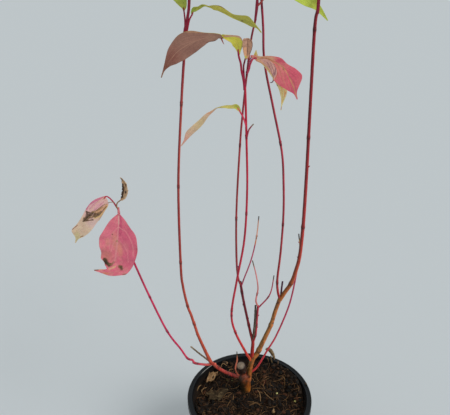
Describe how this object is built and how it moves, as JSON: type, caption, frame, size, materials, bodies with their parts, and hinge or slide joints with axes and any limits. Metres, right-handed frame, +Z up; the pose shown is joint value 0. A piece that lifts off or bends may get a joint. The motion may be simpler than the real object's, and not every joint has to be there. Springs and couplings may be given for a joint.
{
  "type": "potted siberian dogwood",
  "caption": "Young red-stemmed dogwood shrub with bare canes and a few autumn leaves, in a round black nursery pot.",
  "frame": {"origin": "centre of the pot's flat underside", "axes": "+Z up, the pictured side faces -Y, +X to the right of that view"},
  "size_m": [0.3109, 0.17, 0.8716],
  "materials": {
    "pot_plastic": "black moulded plastic, half matt",
    "compost": "dark moist fibrous compost",
    "bark": "smooth red to orange-brown young bark",
    "old_bark": "older bark, orange-brown with grey-green film",
    "dead_wood": "grey-brown dead twig",
    "autumn_leaf": "thin leaf, pink to mauve and cream",
    "green_leaf": "thin leaf, yellow-green",
    "dry_leaf": "dry curled leaf"
  },
  "bodies": {
    "root": {"pot": "pot_plastic", "compost": "compost", "trunk": "old_bark", "right_lower_stem": "old_bark", "pruned_stump": "dead_wood", "left_arm": "bark", "long_left_stem": "bark", "low_left_stem": "bark", "low_left_snag": "dead_wood", "left_stub": "bark", "right_stem": "bark", "inner_stem": "bark", "right_snag": "dead_wood", "back_right_shoot": "bark", "back_centre_stem": "bark", "centre_stem": "bark", "mid_stem": "bark", "mid_snag": "dead_wood", "pink_twig": "bark", "magenta_twig": "bark", "back_centre_leader": "bark", "thin_back_twig": "bark", "hook_twig": "bark", "low_left_leaves": "autumn_leaf", "centre_leaves": "autumn_leaf", "middle_right_leaves": "autumn_leaf", "hanging_leaf": "autumn_leaf", "left_crown": "green_leaf", "right_crown": "green_leaf", "inner_crown": "green_leaf", "middle_crown": "green_leaf", "tan_dry_leaf": "dry_leaf", "brown_dry_leaf": "dry_leaf", "rim_dry_leaf": "dry_leaf"}
  },
  "joints": []
}
